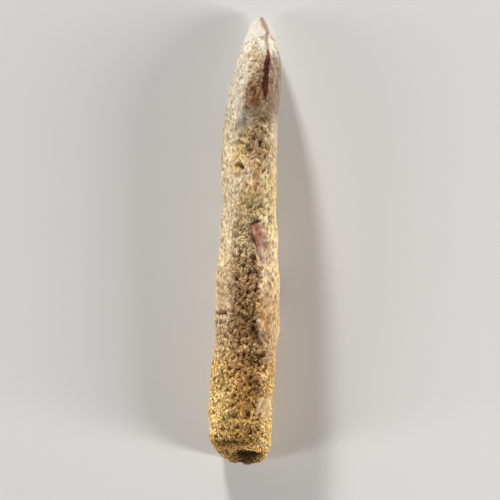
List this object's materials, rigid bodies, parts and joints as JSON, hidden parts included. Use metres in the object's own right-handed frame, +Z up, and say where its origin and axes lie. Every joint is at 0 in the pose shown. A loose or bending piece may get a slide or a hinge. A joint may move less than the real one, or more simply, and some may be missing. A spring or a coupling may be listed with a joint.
{
  "type": "fossil dinosaur tooth",
  "caption": "Long, gently curved fossil dinosaur tooth with a worn, glued tip, a ridged crown and a thick sand-crusted root, lying on its flattened rear face.",
  "frame": {"origin": "on the resting plane, below the middle of the tooth's bounding box", "axes": "+Y along the tooth towards the tip of the crown, +X across it to the right flank, +Z up from the rear face it rests on to the front edge with the ridge"},
  "size_m": [0.0087, 0.058, 0.012],
  "materials": {
    "fossil_tooth": "worn fossil dentine, cream to ochre brown and matt, under a fine crust of hardened sand; red-brown glossy enamel left on the crown",
    "matrix_sand": "ochre sand grains cemented to the root, matt"
  },
  "bodies": {
    "root": {"tooth": "fossil_tooth"}
  },
  "joints": []
}
